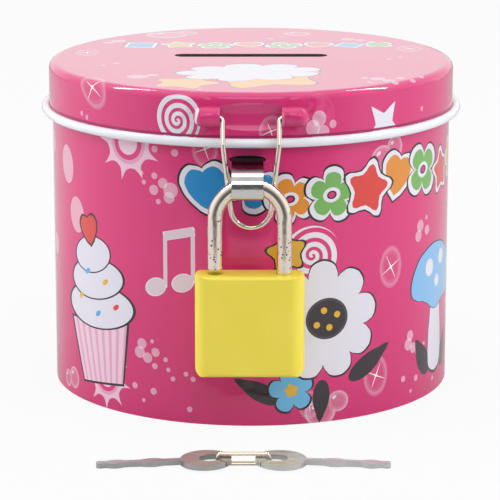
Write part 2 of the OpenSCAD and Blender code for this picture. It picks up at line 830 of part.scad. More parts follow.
// The link: two turns of wire, pulled long, standing through both bows
module key_link() {
    color(chrome) translate([keys_x, -keys_front, link_h / 2])
        for (s = [-1, 1]) translate([0, s * link_r * 0.98, 0]) {
            for (v = [-1, 1]) rod([-link_straight, 0, v * link_bend],
                [link_straight, 0, v * link_bend], link_r);
            both_sides() translate([link_straight, 0, 0]) rotate([90, 0, 0])
                rotate_extrude(angle = 180, start = -90)
                    translate([link_bend, 0]) circle(link_r);
        }
}

body_wall();
bottom_plate();
staple();
hinge_leaf_body();
rivet_body_left();
rivet_body_right();
hinge_pin();
lid_shell();
hinge_leaf_lid();
rivet_lid_left();
rivet_lid_right();
hasp_wire();
shackle();
spring_seat();
lock_jacket();
lock_core();
shackle_spring();
retaining_pin();
latch_bolt();
latch_spring();
key_plug();
key_left();
key_right();
key_link();
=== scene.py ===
# %% [markdown]
# # A tin money box and its finishes
# The shapes of this money box come from a CAD model: a round tin with a hinged slip lid,
# a wire hasp, a strap staple, a small padlock and two stamped keys. Here they get what
# the eye sees on the real one: printed tinplate, a white rolled bead, bright plating,
# yellow plastic and stamped steel, in a plain and pale studio. No mesh is added but the
# floor, because the solids already have the real shapes: this lesson is about materials.

# %% Load the model
import math

import bmesh
import bpy
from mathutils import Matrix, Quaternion, Vector

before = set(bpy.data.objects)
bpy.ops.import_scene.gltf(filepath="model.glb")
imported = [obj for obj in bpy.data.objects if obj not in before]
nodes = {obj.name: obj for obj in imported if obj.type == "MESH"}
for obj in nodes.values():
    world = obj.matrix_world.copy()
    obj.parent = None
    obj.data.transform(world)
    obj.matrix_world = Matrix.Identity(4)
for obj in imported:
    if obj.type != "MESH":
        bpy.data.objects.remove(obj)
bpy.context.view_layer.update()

# %% [markdown]
# ## Measures
# Every length below is written in millimetres and multiplied by `mm`, so that the numbers
# read like a drawing. The few sizes that the finishes need are the tin's own. They could be
# measured on the meshes, but a maker's drawing is easier to follow and to change.

# %% Measures of the tin
mm = 0.001
lid_radius = 50 * mm
body_radius = 49.2 * mm
lid_top = 80 * mm
bead_top = 69.7 * mm  # the white ink of the lid's bead ends here
bead_inner = 50.12 * mm  # and starts at this distance from the axis
rim_low = 70.2 * mm  # the body's curled rim is bare above this
pocket_place = (14.2 * mm, -50 * mm, 74.6 * mm)  # middle of the right-hand pocket
shoulder_height = 61.4 * mm  # where the staple's strap starts to turn over
# painted shade on the staple's strap fades in between these two places
strap_lit, strap_dark = -54.6 * mm, -52.8 * mm  # the strap gets dark between these
print("lid", 2 * lid_radius / mm, "mm across, tin", lid_top / mm, "mm tall")

# %% [markdown]
# ## Camera
# A long lens a good half metre away keeps the ellipse of the lid flat and calm. A short lens
# close by would show the same front with bulging sides. It looks down at thirteen and a
# half degrees, which shows the coin slot and the whole front.

# %% Camera
camera_pitch = 0.236
camera_place = (0, -665.83 * mm, 191.25 * mm)
camera_data = bpy.data.cameras.new("camera")
camera_data.lens = 195.7
camera_data.shift_x = -0.002
camera_data.shift_y = -0.0008
camera_data.clip_end = 20
camera = bpy.data.objects.new("camera", camera_data)
camera.location = camera_place
camera.rotation_euler = (math.pi / 2 - camera_pitch, 0, 0)
bpy.context.scene.collection.objects.link(camera)
bpy.context.scene.camera = camera
print("camera stands", round(-camera.location.y, 3), "m in front of the tin")

# %% [markdown]
# ## Colours and nodes
# Colours are written as the hex values of a paint chart. Light is mixed in linear values,
# so one function converts them. One more adds a shader node with its settings and links,
# and hands back an output socket, so that nodes can be chained like sums. The same nodes
# could be placed by hand in the editor, but here a print is hundreds of them.

# %% Helpers for colours, nodes and materials
def linear(chart):
    """The hex colour of a paint chart as linear red, green, blue and alpha."""
    parts = [int(chart[i : i + 2], 16) / 255 for i in (0, 2, 4)]
    return (*[c / 12.92 if c <= 0.04045 else ((c + 0.055) / 1.055) ** 2.4 for c in parts], 1.0)


def add(tree, kind, links=None, out=0, **settings):
    """Adds a shader node, links or sets its inputs, and returns one output of it.
    Inputs and outputs go by number or by name. A Mix node of colours takes them at its
    inputs 6 and 7 and gives the result at output 2."""
    node = tree.nodes.new("ShaderNode" + kind)
    for name, value in settings.items():
        setattr(node, name, value)
    for slot, value in (links or {}).items():
        if isinstance(value, bpy.types.NodeSocket):
            tree.links.new(value, node.inputs[slot])
        else:
            node.inputs[slot].default_value = value
    return node.outputs[out]


def new_finish(name, colour, **shader):
    """A material whose Principled shader starts from a colour and the given sockets."""
    material = bpy.data.materials.new(name)
    material.use_nodes = True
    surface = material.node_tree.nodes["Principled BSDF"]
    surface.inputs["Base Color"].default_value = linear(colour)
    for socket, value in shader.items():
        surface.inputs[socket.replace("_", " ")].default_value = value
    return material, material.node_tree, surface


def coat(material, *names):
    """Gives the material to CAD nodes."""
    for name in names:
        for slot in nodes[name].material_slots:
            slot.material = material
    print(material.name, "on", ", ".join(names))


print("a mid grey, 808080, is", round(linear("808080")[0], 3), "in linear light")

# %% [markdown]
# ## Where the print lies
# Printed tinplate is drawn flat and bent afterwards. The body's sheet is rolled, so its
# print lies on the distance round the wall and the height. The lid is pressed from a flat
# disc, so its print is a drawing on that disc, and what bends down into the lid's wall is
# stretched a little sideways. Unwrapped UV maps could hold both, but the sheets are so
# simple that a few sums on Object coordinates do it with no seam to hide.

# %% Coordinates of the two sheets
def split_place(tree):
    """Object coordinates taken apart, and the same seen from above as a flat vector."""
    place = add(tree, "TexCoord", out="Object")
    split = add(tree, "SeparateXYZ", {0: place}).node
    flat = add(tree, "CombineXYZ", {0: split.outputs["X"], 1: split.outputs["Y"]})
    return split, flat


def rolled_sheet(tree, split, repeats):
    """Distance round the wall from the front and height, in metres, as one vector.
    The artwork comes round again `repeats` times."""
    forward = add(tree, "Math", {0: split.outputs["Y"], 1: -1}, operation="MULTIPLY")
    angle = add(tree, "Math", {0: split.outputs["X"], 1: forward}, operation="ARCTAN2")
    round_wall = add(tree, "Math", {0: angle, 1: body_radius}, operation="MULTIPLY")
    half = math.pi * body_radius / repeats
    again = add(tree, "Math", {0: round_wall, 1: half, 2: -half}, operation="WRAP")
    return add(tree, "CombineXYZ", {0: again, 1: split.outputs["Z"]})


def pressed_disc(tree, split, flat):
    """The drawing on the flat disc that the lid was pressed from, in metres."""
    drop = add(tree, "Math", {0: lid_top, 1: split.outputs["Z"]}, operation="SUBTRACT")
    grow = add(tree, "Math", {0: drop, 1: 1 / lid_radius, 2: 1.0}, operation="MULTIPLY_ADD")
    return add(tree, "VectorMath", {0: flat, 3: grow}, operation="SCALE")


print("the body's sheet is", round(math.tau * body_radius / mm), "mm round the wall")

# %% [markdown]
# ## Inks
# A motif is drawn in its own small frame: a Mapping node moves, turns and sizes the sheet's
# coordinates, and a curve gives the outline's distance from the middle for each direction.
# The distance divided by that outline is 0 in the middle and `edge` on the outline, so one
# colour ramp over it draws the fill, the white border and the dark line at once.
# Painted images could hold the artwork, but outlines from sums stay sharp at any distance.

# %% Outlines as curves of direction
edge = 0.8
smooth, straight = "AUTO", "VECTOR"
outlines = {
    "round": (1, straight, [(0, 1), (1, 1)]),
    "star": (5, straight, [(0, 1), (0.18, 0.8), (0.4, 0.64), (0.7, 0.53), (1, 0.47)]),
    "fat_star": (5, smooth, [(0, 1), (0.25, 0.92), (0.6, 0.74), (1, 0.66)]),
    "flower": (5, smooth, [(0, 1), (0.4, 0.96), (0.8, 0.78), (1, 0.6)]),
    "clover": (4, smooth, [(0, 1), (0.4, 0.95), (0.8, 0.72), (1, 0.5)]),
    "daisy": (9, smooth, [(0, 1), (0.4, 0.97), (0.8, 0.86), (1, 0.74)]),
    "burst": (9, smooth, [(0, 1), (0.08, 0.9), (0.25, 0.77), (0.55, 0.68), (1, 0.65)]),
    "heart": (1, smooth, [(0, 0.62), (0.1, 0.8), (0.22, 0.94), (0.36, 0.92), (0.5, 0.8),
                          (0.7, 0.72), (0.88, 0.82), (1, 1)]),
    "drop": (1, smooth, [(0, 1), (0.07, 0.86), (0.2, 0.66), (0.45, 0.6), (0.75, 0.62), (1, 0.64)]),
    "glint": (4, smooth, [(0, 1), (0.05, 0.6), (0.14, 0.3), (0.4, 0.14), (1, 0.09)]),
    "square": (4, straight, [(0, 1), (0.12, 0.92), (0.3, 0.8), (0.6, 0.73), (1, 0.71)]),
    "cap": (1, smooth, [(0, 0.8), (0.15, 0.84), (0.35, 0.97), (0.48, 1), (0.56, 0.82),
                        (0.62, 0.55), (0.75, 0.4), (1, 0.36)]),
    "stem": (1, smooth, [(0, 1), (0.06, 0.9), (0.2, 0.5), (0.4, 0.36), (0.6, 0.4), (0.8, 0.66),
                         (0.9, 0.9), (1, 0.95)]),
}
print("outlines drawn as curves:", ", ".join(outlines))

# %% [markdown]
# An outline's curve runs over one fold: a star has five folds, and a heart has one, which is
# half of it. Distance and direction both come from gradient textures. A Vector Math length
# would do the same for one motif, but the renderer then holds the frames of all of them at
# once, runs out of room on a print this full and shows it black. Upright boxes, such as a
# note's stem, need no curve.

# %% The measure of a motif
def figure(tree, sheet, outline, centre, size, turn=0.0):
    """How far a point lies towards the outline of a motif: `edge` is on it."""
    folds, handle, points = outlines[outline]
    frame_turn = math.radians(turn - 90)
    across, up = (size if isinstance(size, tuple) else (size, size))
    local = add(tree, "Mapping", {0: sheet, 1: (centre[0] * mm, centre[1] * mm, 0),
                                  2: (0, 0, frame_turn),
                                  3: (up * mm / edge, across * mm / edge, 1)},
                vector_type="TEXTURE")
    nearness = add(tree, "TexGradient", {0: local}, out=1, gradient_type="SPHERICAL")
    away = add(tree, "Math", {0: 1.0, 1: nearness}, operation="SUBTRACT")
    if outline == "round":
        return away
    direction = add(tree, "TexGradient", {0: local}, out=1, gradient_type="RADIAL")
    fold = add(tree, "Math", {0: direction, 1: 0.5 / folds}, operation="PINGPONG")
    curve = add(tree, "FloatCurve", {1: fold}).node
    line = curve.mapping.curves[0]
    while len(line.points) < len(points):
        line.points.new(0.5, 0.5)
    for point, (x, y) in zip(line.points, points):
        point.location = (x * 0.5 / folds, y)
        point.handle_type = handle
    curve.mapping.update()
    return add(tree, "Math", {0: away, 1: curve.outputs[0]}, operation="DIVIDE")


def block(tree, sheet, centre, size, turn=0.0, flare=0.0):
    """The same measure for a box that may get wider upwards, and the place across the box."""
    offset = add(tree, "VectorMath", {0: sheet, 1: (centre[0] * mm, centre[1] * mm, 0)},
                 operation="SUBTRACT")
    cos, sin = math.cos(math.radians(turn)), math.sin(math.radians(turn))
    half_w, half_h = size[0] * mm / edge, size[1] * mm / edge
    x = add(tree, "VectorMath", {0: offset, 1: (cos / half_w, sin / half_w, 0)}, out=1,
            operation="DOT_PRODUCT")
    y = add(tree, "VectorMath", {0: offset, 1: (-sin / half_h, cos / half_h, 0)}, out=1,
            operation="DOT_PRODUCT")
    width = add(tree, "Math", {0: y, 1: flare, 2: 1.0}, operation="MULTIPLY_ADD")
    across = add(tree, "Math", {0: x, 1: width}, operation="DIVIDE")
    sides = add(tree, "Math", {0: across}, operation="ABSOLUTE")
    ends = add(tree, "Math", {0: y}, operation="ABSOLUTE")
    return add(tree, "Math", {0: sides, 1: ends}, operation="MAXIMUM"), across


# %% [markdown]
# A printer lays one ink over another. A colour ramp with hard steps says which colour a
# measure gets, and its alpha says how much of the ground shows through.

# %% One ink over another
def ink(tree, under, measure, bands):
    """Prints bands of colour over what is under them. Each band starts at a measure and
    is a hex colour and how much it covers."""
    ramp = add(tree, "ValToRGB", {0: measure}).node
    ramp.color_ramp.interpolation = "CONSTANT"
    stops = ramp.color_ramp.elements
    while len(stops) < len(bands):
        stops.new(0.5)
    for stop, (start, chart, cover) in zip(stops, bands):
        stop.position = start
        stop.color = (*linear(chart)[:3], cover)
    return add(tree, "Mix", {0: ramp.outputs[1], 6: under, 7: ramp.outputs[0]}, out=2,
               data_type="RGBA")


def nearest(tree, measures):
    """The smallest of several measures, so that one ink prints all their motifs."""
    least = measures[0]
    for measure in measures[1:]:
        least = add(tree, "Math", {0: least, 1: measure}, operation="MINIMUM")
    return least


def stamp(tree, sheet, under, bands, *shapes):
    """Prints one ink on one or more figures: outline, centre and size in mm, and turn."""
    return ink(tree, under, nearest(tree, [figure(tree, sheet, *shape) for shape in shapes]),
               bands)


# %% [markdown]
# ## Motifs that come back
# Bubbles, bursts, sparkles and sweet-like shapes with a double outline make up the print.
# Each is a small function that takes the colour under it and returns the colour with the
# motifs on it, so that a print is a list of calls. The inks are a little greyer than pure
# ones, as they are on tin.

# %% Inks that come back
ground_pink = "DC387B"
deep_pink = "CE3272"
pale = "EFCBDE"
whitish = "E9E7F1"
faded_white = "F0DAE8"
pure_white = "FFFFFF"
ink_yellow = "E3B32F"
ink_red = "DD4440"
line_dark = "2E2630"
line_soft = "6F6370"
dot_cover, most_cover = 0.5, 0.85  # of white ink on one dot, and where dots overlap
print("ground:", ground_pink, "down to", deep_pink)

# %% [markdown]
# Dots and bubbles are thin white ink, so the pink shows through and two that overlap get
# whiter. A bubble is brighter at its rim and has a small light spot up on its left.

# %% Dots and bubbles
def dots(tree, sheet, spots):
    """How much white ink a set of dots lays down. Each spot is x, y and radius in mm."""
    white = 0.0
    for x, y, radius in spots:
        away = add(tree, "VectorMath", {0: sheet, 1: (x * mm, y * mm, 0)}, out=1,
                   operation="DISTANCE")
        inside = add(tree, "Math", {0: away, 1: radius * mm}, operation="LESS_THAN")
        white = add(tree, "Math", {0: inside, 1: dot_cover, 2: white}, operation="MULTIPLY_ADD")
    return add(tree, "Math", {0: white, 1: most_cover}, operation="MINIMUM")


def bubbles(tree, sheet, under, *places):
    """Soap bubbles, each with a bright rim, a faint skin and a small light spot."""
    under = stamp(tree, sheet, under,
                  [(0, whitish, 0.14), (0.5, whitish, 0.24), (0.66, whitish, 0.5),
                   (0.75, whitish, 0.32), (edge, whitish, 0)],
                  *[("round", centre, size) for centre, size in places])
    return stamp(tree, sheet, under, [(0, whitish, 0.8), (edge, whitish, 0)],
                 *[("round", (x - 0.35 * across, y + 0.4 * up), (0.22 * across, 0.14 * up), 35)
                   for (x, y), (across, up) in places])


# %% [markdown]
# A sunburst is a spiky outline with a pink ring and a pale disc in it. A sparkle is a thin
# four-pointed star in a tall, faint ring.

# %% Sunbursts and sparkles
def bursts(tree, sheet, under, *places):
    """Spiky sunbursts with a ring and a disc in them."""
    under = stamp(tree, sheet, under, [(0, pale, 0.9), (edge, pale, 0)],
                  *[("burst", centre, size, turn) for centre, size, turn in places])
    return stamp(tree, sheet, under,
                 [(0, pale, 0.95), (0.24, ground_pink, 1), (0.35, "E5A0C2", 1), (0.43, pale, 0)],
                 *[("round", centre, size) for centre, size, turn in places])


def sparkles(tree, sheet, under, *places):
    """Thin bright crosses in faint, tall rings."""
    under = stamp(tree, sheet, under,
                  [(0, whitish, 0.04), (0.5, whitish, 0.1), (0.62, whitish, 0.24),
                   (0.73, whitish, 0.14), (edge, whitish, 0)],
                  *[("round", centre, (0.72 * size, size)) for centre, size, turn in places])
    return stamp(tree, sheet, under, [(0, pure_white, 1), (edge, pure_white, 0)],
                 *[("glint", centre, 0.66 * size, turn) for centre, size, turn in places])


# %% [markdown]
# The bright shapes are printed in three steps of one ramp: fill, white border, dark line. A
# spiral is the fraction of distance and direction together: where the sum passes a whole
# number, a new arm starts.

# %% Outlined shapes and the spiral
def sweets(tree, sheet, under, row, eyelets):
    """Coloured shapes with a white border and a dark line, and eyelets in some of them."""
    for colour, shapes in row.items():
        under = stamp(tree, sheet, under,
                      [(0, colour, 1), (0.59, whitish, 1), (0.735, line_dark, 1),
                       (edge, line_dark, 0)], *shapes)
    return stamp(tree, sheet, under,
                 [(0, deep_pink, 1), (0.3, line_dark, 1), (0.45, whitish, 1), (edge, whitish, 0)],
                 *[("round", centre, (0.3 * size, 0.24 * size), 10) for centre, size in eyelets])


def swirl(tree, sheet, under, centre, size, turn):
    """A round sweet with a white spiral."""
    windings, tightening, white_share, rim = 3.5, 0.8, 0.55, 0.99
    local = add(tree, "Mapping", {0: sheet, 1: (centre[0] * mm, centre[1] * mm, 0),
                                  2: (0, 0, math.radians(turn)),
                                  3: (size * mm, size * mm, 1)}, vector_type="TEXTURE")
    direction = add(tree, "TexGradient", {0: local}, out=1, gradient_type="RADIAL")
    nearness = add(tree, "TexGradient", {0: local}, out=1, gradient_type="SPHERICAL")
    away = add(tree, "Math", {0: 1.0, 1: nearness}, operation="SUBTRACT")
    bowed = add(tree, "Math", {0: away, 1: tightening}, operation="POWER")
    arms = add(tree, "Math", {0: bowed, 1: windings, 2: direction}, operation="MULTIPLY_ADD")
    arm = add(tree, "Math", {0: arms}, operation="FRACT")
    white = add(tree, "Math", {0: arm, 1: white_share}, operation="LESS_THAN")
    inside = add(tree, "Math", {0: away, 1: rim}, operation="LESS_THAN")
    cover = add(tree, "Math", {0: white, 1: inside}, operation="MULTIPLY")
    return add(tree, "Mix", {0: cover, 6: under, 7: linear(whitish)}, out=2, data_type="RGBA")


# %% [markdown]
# ## Litho-printed tinplate
# The sheet is steel with a thin coat of tin, a white ground coat, offset inks and a clear
# baked varnish. The ink is dull and the varnish is glossy. One glossy plastic would look
# much the same from the front, but the shader's coat over a dull base keeps the inks deep
# where the lamps reflect, as on real tin.

# %% Dull inks under a clear varnish
def varnished_tin(name, roughness):
    """The material that carries a print: dull inks under a clear varnish."""
    return new_finish(name, ground_pink, Roughness=roughness, IOR=1.5, Specular_IOR_Level=0.1,
                      Coat_Weight=1.0, Coat_Roughness=0.05, Coat_IOR=1.5)


# %% [markdown]
# The sheet is thin and never quite flat: a faint, broad bump lets the reflections waver.
# Where the two pockets were pressed, the metal round them was pulled into small dents. The
# noise for those reads the distance to the side, so both pockets have the same dents.

# %% Thin sheet and its dents
dent_far, dent_near = 6.5 * mm, 3 * mm  # dents fade out between these from a pocket's middle
dent_size, dent_depth = 2.8 * mm, 1.0 * mm


def wavering(tree, surface, waves_per_metre, depth):
    """A broad, faint bump of thin pressed sheet, with its depth in mm."""
    place = add(tree, "TexCoord", out="Object")
    waves = add(tree, "TexNoise", {"Vector": place, "Scale": waves_per_metre, "Detail": 1.0})
    bump = add(tree, "Bump", {"Height": waves, "Distance": depth * mm, "Strength": 1.0})
    tree.links.new(bump, surface.inputs["Normal"])
    tree.links.new(bump, surface.inputs["Coat Normal"])


def crumple(tree, surface, split):
    """Small dents in the sheet round the two pressed pockets."""
    side = add(tree, "Math", {0: split.outputs["X"]}, operation="ABSOLUTE")
    place = add(tree, "CombineXYZ", {0: side, 1: split.outputs["Y"], 2: split.outputs["Z"]})
    away = add(tree, "VectorMath", {0: place, 1: pocket_place}, out=1, operation="DISTANCE")
    near = add(tree, "MapRange", {0: away, 1: dent_far, 2: dent_near})
    noise = add(tree, "TexNoise", {"Vector": place, "Scale": 1 / dent_size, "Detail": 1.0})
    height = add(tree, "Math", {0: noise, 1: near}, operation="MULTIPLY")
    under = surface.inputs["Normal"].links[0].from_socket
    bump = add(tree, "Bump", {"Height": height, "Distance": dent_depth, "Strength": 1.0,
                              "Normal": under})
    tree.links.new(bump, surface.inputs["Normal"])
    tree.links.new(bump, surface.inputs["Coat Normal"])


# %% [markdown]
# Inside, the sheet has no ink: it is bare, softly bright tinned steel. The wall could be
# split into two materials, but its mesh is one sheet with two sides, so the direction that
# a side faces tells them apart. The normal comes in Object coordinates, which turn with
# the lid when it opens.

# %% Print outside, bare steel inside
bare_steel = "C9C6BE"
turned_out = 0.004  # metres that a point lies along its own normal, on an outer side


def bare_inside(tree, surface, print_colour, outside):
    """Shows the print outside and the plain tinned steel inside."""
    colour = add(tree, "Mix", {0: outside, 6: linear(bare_steel), 7: print_colour}, out=2,
                 data_type="RGBA")
    tree.links.new(colour, surface.inputs["Base Color"])
    metal = add(tree, "Math", {0: 1.0, 1: outside}, operation="SUBTRACT")
    tree.links.new(metal, surface.inputs["Metallic"])


def facing_out(tree, flat):
    """1 where the surface faces away from the tin's axis, and 0 where it faces it."""
    normal = add(tree, "TexCoord", out="Normal")
    out = add(tree, "VectorMath", {0: normal, 1: flat}, out=1, operation="DOT_PRODUCT")
    return add(tree, "Math", {0: out, 1: turned_out}, operation="GREATER_THAN")


# %% [markdown]
# ### The body's print
# The ground is pink and a little deeper towards the floor, with loose groups of dots and a
# slanting row of bright shapes across the front. The artwork comes round twice, as on a
# real sheet, so the back looks like the front. Noise could scatter the dots, but a printed
# group has its own order, so they are listed: in millimetres round the wall from the
# front, up from the floor, and the radius.

# %% Dots and the coloured row
body_dots = [
    (-66.8, 35.3, 2.7), (-69.4, 60.6, 2.9), (-23.4, 65.8, 0.8), (-18.2, 65.3, 0.9),
    (-27.1, 59.7, 0.6), (-26.4, 57.6, 0.6), (-23.5, 59.4, 0.8), (-21.3, 57.8, 1.25),
    (-23.7, 56, 1.2), (-19.3, 56.3, 1.85), (-19.7, 54.5, 1.4), (-22.5, 53.3, 0.65),
    (-27.4, 18.2, 1.3), (-28, 16, 1.45), (-25.8, 14.9, 1.3), (-23.6, 16.5, 1.1),
    (-24.5, 19.1, 0.5), (-23.8, 13.1, 0.75), (-20.9, 15, 0.6), (-20.2, 12.6, 0.55),
    (-15.7, 12, 0.6), (-13.9, 10.9, 0.65), (-19, 10.5, 0.6), (-29.5, 7.5, 0.8),
    (-24.2, 6.8, 0.85), (-27, 4.2, 0.5), (-14.8, 3.4, 0.7), (48.2, 43.6, 1.5), (51.6, 42, 1.2),
    (47.4, 41.2, 1.4), (51.2, 45.2, 0.6), (44.3, 17.1, 1.3), (43.6, 15, 1.5), (45.7, 13.7, 1.3),
    (50.7, 13.6, 0.6), (47.4, 12.2, 0.7), (51.2, 11.4, 0.5), (52.4, 9.3, 0.5), (41.7, 6.7, 0.8),
    (47.1, 5.8, 0.8), (56.2, 3.5, 0.6), (44.8, 3, 0.5), (70, 20, 1), (72, 17.4, 0.7),
]
body_row = {
    "2F8FD0": [("heart", (-10.6, 57.6), 7.8, 12), ("clover", (0.2, 58), 7.2, 8)],
    "E2923A": [("flower", (9.2, 54.8), 6.8, 20), ("heart", (38.8, 58), 7.2, -16)],
    "78B35C": [("flower", (19.4, 55.2), 7.4, -6), ("clover", (49, 57.4), 7.8, 38)],
    ink_red: [("fat_star", (29.4, 55.6), 8, -12), ("fat_star", (60, 55.4), 6.6, 6)],
    ink_yellow: [("flower", (69.6, 57), 6, 14)],
}
body_eyelets = [((9.2, 54.8), 6.8), ((19.4, 55.2), 7.4), ((49, 57.4), 7.8)]
print("the body has", len(body_dots), "dots and", sum(map(len, body_row.values())), "shapes")

# %% [markdown]
# The bigger pictures each get a function. They are drawn from the back to the front, so
# that an outline hides what lies behind it. The cake's paper case is a box that gets wider
# upwards, and its pleats are the fraction of the distance across it.

# %% Cup cake
ink_black = "352F35"
black_ink = [(0, ink_black, 1), (edge, line_dark, 0)]
case_line, pleats_across, pleat_shade = 0.745, 5.2, "E2A6C5"


def lined(colour, line=0.76, line_colour=line_dark):
    """A fill that ends in a dark line."""
    return [(0, colour, 1), (line, line_colour, 1), (edge, line_colour, 0)]


def cup_cake(tree, sheet, under):
    """A cake in a pleated paper case, with three rounds of white icing and a red heart."""
    reach, across = block(tree, sheet, (-41.4, 13.8), (9.6, 8.2), 7, 0.26)
    under = ink(tree, under, reach, lined(pale, case_line))
    pleats = add(tree, "Math", {0: across, 1: pleats_across}, operation="MULTIPLY")
    pleat = add(tree, "Math", {0: pleats}, operation="FRACT")
    inside = add(tree, "Math", {0: reach, 1: case_line}, operation="LESS_THAN")
    fold = add(tree, "Math", {0: pleat, 1: inside}, operation="MULTIPLY")
    under = ink(tree, under, fold, [(0, pleat_shade, 0), (0.6, pleat_shade, 1)])
    for icing in (("round", (-42, 25), (13, 5.8), 4), ("round", (-42.8, 31.6), (10.6, 5.2), 8),
                  ("round", (-44, 37.4), (7.4, 4.6), 12)):
        under = stamp(tree, sheet, under, lined("E3E1EE", case_line), icing)
    for chart, places in ((ink_yellow, [(-48.6, 26.4), (-38.8, 31.4)]),
                          ("5CAEE0", [(-41.6, 23.2), (-45.6, 33)]),
                          (ink_red, [(-35.2, 25.8)])):
        under = stamp(tree, sheet, under, [(0, chart, 1), (edge, chart, 0)],
                      *[("round", place, (1.1, 0.6), 35) for place in places])
    return stamp(tree, sheet, under, lined("DC4A42", 0.68), ("heart", (-45, 43.6), 4.6, 14))


# %% [markdown]
# The daisy's petals and its dark middle are two figures one over the other, and a leaf is a
# pointed drop. A small yellow star stands by itself beside the spiral.

# %% Daisy and leaves
daisy_white = "E3E1EC"


def flower_bed(tree, sheet, under):
    """A big white daisy over a small blue flower and a few dark leaves."""
    under = stamp(tree, sheet, under, black_ink, ("drop", (29, 12.6), (4, 8.6), -58),
                  ("drop", (2.6, 8), (3.8, 7.6), 62), ("drop", (17, 6.4), (3.6, 6.4), 176))
    under = stamp(tree, sheet, under,
                  [(0, ink_yellow, 1), (0.22, "6DB8E4", 1), (0.72, line_dark, 1),
                   (edge, line_dark, 0)], ("flower", (9.6, 8.4), 6, 10))
    under = stamp(tree, sheet, under, lined(daisy_white, 0.77), ("daisy", (17.4, 25), 15))
    under = stamp(tree, sheet, under, lined(ink_black, 0.7, "4A4248"),
                  ("round", (18.4, 25.4), (5.4, 5), 12))
    under = stamp(tree, sheet, under, [(0, ink_yellow, 1), (edge, ink_yellow, 0)],
                  *[("round", place, 0.8) for place in ((17.6, 27.4), (21, 26.2), (19, 23.2),
                                                        (15.8, 24))])
    return stamp(tree, sheet, under, lined("DDAB2E", 0.7), ("fat_star", (8.4, 42), 5.4, 10))


# %% [markdown]
# The toadstool stands on the right, where the wall turns away. The two notes are one pale
# ink: the nearest of two round heads, two stems and a beam.

# %% Toadstool and notes
def toadstool(tree, sheet, under):
    """A white toadstool with a pale blue cap and dark grass."""
    under = stamp(tree, sheet, under, black_ink, ("drop", (50.4, 9.6), (4.6, 7), 32),
                  ("drop", (64.4, 9), (4.6, 7), -30))
    under = stamp(tree, sheet, under, lined(daisy_white, 0.75),
                  ("stem", (57.4, 16.6), (12, 12.6)))
    under = stamp(tree, sheet, under, lined("84BFEE", 0.77),
                  ("cap", (57.4, 26.4), (13.4, 14.6), -6))
    return stamp(tree, sheet, under, [(0, whitish, 1), (edge, whitish, 0)],
                 ("round", (53.4, 32.2), 2.2), ("round", (61.4, 33.4), 1.9),
                 ("round", (58.2, 28), 1.5))


def two_notes(tree, sheet, under):
    """Two joined notes in pale ink."""
    heads = [figure(tree, sheet, "round", place, (2.9, 2.2), 22)
             for place in ((-23.4, 32.6), (-16.4, 34.2))]
    stems = [block(tree, sheet, place, size, turn)[0]
             for place, size, turn in (((-20.8, 39.4), (0.5, 6.6), 0),
                                       ((-13.8, 41), (0.5, 6.6), 0), ((-17.3, 46), (4, 1.1), 13))]
    return ink(tree, under, nearest(tree, heads + stems),
               [(0, "E2D3DF", 0.95), (0.72, whitish, 1), (edge, whitish, 0)])


# %% [markdown]
# The whole print is the ground, then the motifs in order. Last comes painted shade: a dark
# oval over the slot that the staple's strap passes through, where the slot lies in shadow.
# The inks stop where the sheet is turned over into the bare rim.

# %% The body's print
deep_below = 40 * mm  # the ground gets deeper from here down
# painted shade for the slot round the staple's strap
painted_slot_shade = "1C1619"
body_repeats = 2


def print_body():
    """The rolled sheet's print, on varnished tinplate."""
    material, tree, surface = varnished_tin("litho_printed_tinplate_body", 0.3)
    split, flat = split_place(tree)
    sheet = rolled_sheet(tree, split, body_repeats)
    rise = add(tree, "MapRange", {0: split.outputs["Z"], 1: 0.0, 2: deep_below})
    under = add(tree, "Mix", {0: rise, 6: linear(deep_pink), 7: linear(ground_pink)}, out=2,
                data_type="RGBA")
    under = bursts(tree, sheet, under, ((-31, 66.4), 9.2, 8), ((-38.8, 7.8), 8, 20))
    white = dots(tree, sheet, body_dots)
    under = add(tree, "Mix", {0: white, 6: under, 7: linear(faded_white)}, out=2, data_type="RGBA")
    under = stamp(tree, sheet, under, [(0, faded_white, 0.55), (edge, whitish, 0)],
                  ("round", (-55.4, 57.6), (3.3, 4.7), 10),
                  ("round", (-50.4, 46), (3.4, 4.4), 10))
    under = bubbles(tree, sheet, under, ((37.6, 64.6), (2.6, 2.9)), ((33.6, 62.4), (3.5, 3.2)),
                    ((21.4, 4.8), (2.8, 2.6)), ((16.8, 2.6), (4, 3.6)), ((-57, 3.4), (2, 2.2)),
                    ((-53.2, 4.4), (2.6, 2.8)))
    under = swirl(tree, sheet, under, (14.6, 41), 7.2, 20)
    under = sparkles(tree, sheet, under, ((36.7, 35.6), 5.2, 28), ((32.2, 9.5), 5.2, -24),
                     ((14, 4.6), 3.6, 8), ((-10.8, 66.6), 4.4, 20))
    under = two_notes(tree, sheet, under)
    under = cup_cake(tree, sheet, under)
    under = flower_bed(tree, sheet, under)
    under = toadstool(tree, sheet, under)
    under = sweets(tree, sheet, under, body_row, body_eyelets)
    # painted shade: a dark oval where the strap's slot lies in shadow
    under = stamp(tree, sheet, under, [(0, painted_slot_shade, 1), (edge, painted_slot_shade, 0)],
                  ("round", (-0.8, 64.4), (4.3, 1.0)))
    outside = facing_out(tree, flat)
    below_rim = add(tree, "Math", {0: split.outputs["Z"], 1: rim_low}, operation="LESS_THAN")
    outside = add(tree, "Math", {0: outside, 1: below_rim}, operation="MULTIPLY")
    bare_inside(tree, surface, under, outside)
    wavering(tree, surface, waves_per_metre=30.0, depth=0.05)
    print("the body's print has", len(tree.nodes), "nodes")
    return material


coat(print_body(), "body_wall")

# %% [markdown]
# ### The lid's print
# The lid has a lighter row of shapes behind the coin slot and a cloud before a star in
# front of it. Some sparkles and dots lie half on the top and half on the wall, because the
# disc was printed before it was pressed. A separate print for the wall would be simpler to
# place, but it would break at the lid's edge. Places are in millimetres on the flat disc,
# from its middle to the right and to the back.

